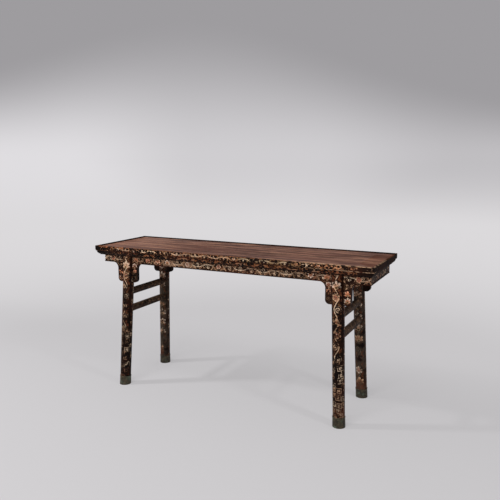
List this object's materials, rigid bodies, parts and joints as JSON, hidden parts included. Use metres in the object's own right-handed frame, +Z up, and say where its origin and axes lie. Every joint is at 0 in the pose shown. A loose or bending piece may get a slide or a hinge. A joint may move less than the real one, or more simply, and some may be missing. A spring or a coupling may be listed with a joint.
{
  "type": "altar table",
  "caption": "Long narrow altar table: framed panel top with a moulded edge, aprons, spandrels, splayed round recessed legs, side stretchers and metal foot caps.",
  "frame": {"origin": "on the floor, under the middle of the top", "axes": "+X along the table, +Y from front to back, +Z up"},
  "size_m": [1.66, 0.4916, 0.83],
  "materials": {
    "lacquered_frame": "black lacquer painted with gold scrolls and flowers on the moulded edge, worn red-brown lacquer on top",
    "lacquered_panel": "worn red-brown lacquer above, bare wood below",
    "bare_wood": "planed, darkened with age",
    "painted_lacquer": "black lacquer painted with dense gold scrolls and coloured flowers, satin",
    "painted_leg": "black lacquer painted with climbing gold vines and flowers, satin",
    "patinated_brass": "dark green-black patina",
    "nail_brass": "dull, worn round heads",
    "bamboo": "split bamboo, planed flush below"
  },
  "bodies": {
    "root": {"top_rail_front": "lacquered_frame", "top_rail_rear": "lacquered_frame", "top_rail_right": "lacquered_frame", "top_rail_left": "lacquered_frame", "panel_board_1": "lacquered_panel", "panel_board_2": "lacquered_panel", "panel_board_3": "lacquered_panel", "batten_1": "bare_wood", "batten_2": "bare_wood", "batten_3": "bare_wood", "batten_4": "bare_wood", "batten_5": "bare_wood", "apron_front": "painted_lacquer", "apron_rear": "painted_lacquer", "apron_right": "painted_lacquer", "apron_left": "painted_lacquer", "spandrel_front_right": "painted_lacquer", "spandrel_front_left": "painted_lacquer", "spandrel_rear_right": "painted_lacquer", "spandrel_rear_left": "painted_lacquer", "leg_front_right": "painted_leg", "leg_front_left": "painted_leg", "leg_rear_right": "painted_leg", "leg_rear_left": "painted_leg", "stretcher_upper_right": "painted_leg", "stretcher_upper_left": "painted_leg", "stretcher_lower_right": "painted_leg", "stretcher_lower_left": "painted_leg", "foot_cap_front_right": "patinated_brass", "foot_cap_front_left": "patinated_brass", "foot_cap_rear_right": "patinated_brass", "foot_cap_rear_left": "patinated_brass", "cap_nails_front_right": "nail_brass", "cap_nails_front_left": "nail_brass", "cap_nails_rear_right": "nail_brass", "cap_nails_rear_left": "nail_brass", "corner_pins": "bamboo"}
  },
  "joints": []
}
